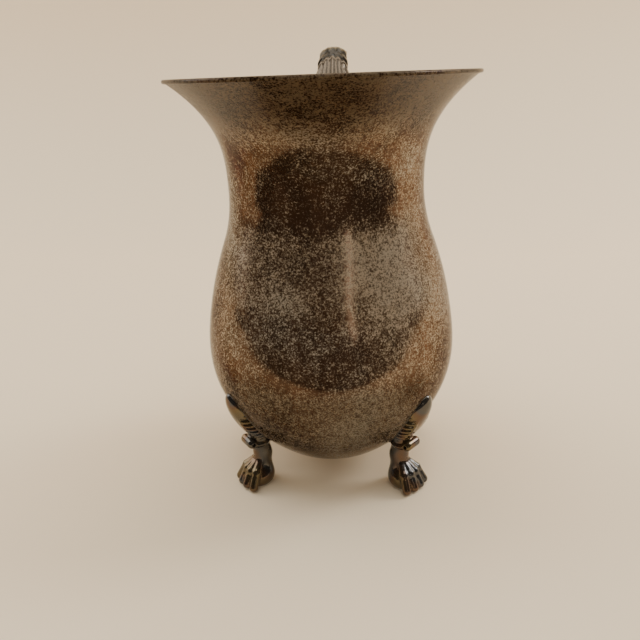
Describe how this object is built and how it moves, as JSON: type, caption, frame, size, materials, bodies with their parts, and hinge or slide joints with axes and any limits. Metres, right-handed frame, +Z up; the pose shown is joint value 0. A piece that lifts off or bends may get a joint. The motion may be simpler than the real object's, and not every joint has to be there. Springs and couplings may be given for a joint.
{
  "type": "water pitcher",
  "caption": "Footed baluster water pitcher in silver plate, with a flared mouth drawn out to a wide spout, a scroll handle and cast paw feet.",
  "frame": {"origin": "on the table plane under the four soles, on the body's turned axis, midway between the spout's lip and the handle's outermost point", "axes": "+Z up, -Y towards the spout, +Y towards the handle, +X to the right as seen from the spout's side looking along +Y"},
  "size_m": [0.1584, 0.2229, 0.2399],
  "materials": {
    "tarnished_plate": "satin",
    "cast_plate": "gloss",
    "solder": "satin"
  },
  "bodies": {
    "root": {"body_shell": "tarnished_plate", "rim_wire": "tarnished_plate", "handle_left_half": "cast_plate", "handle_right_half": "cast_plate", "handle_leaf": "cast_plate", "foot_front_left": "cast_plate", "foot_front_right": "cast_plate", "foot_rear_left": "cast_plate", "foot_rear_right": "cast_plate", "handle_upper_solder": "solder", "handle_lower_solder": "solder", "feet_solder": "solder"}
  },
  "joints": []
}
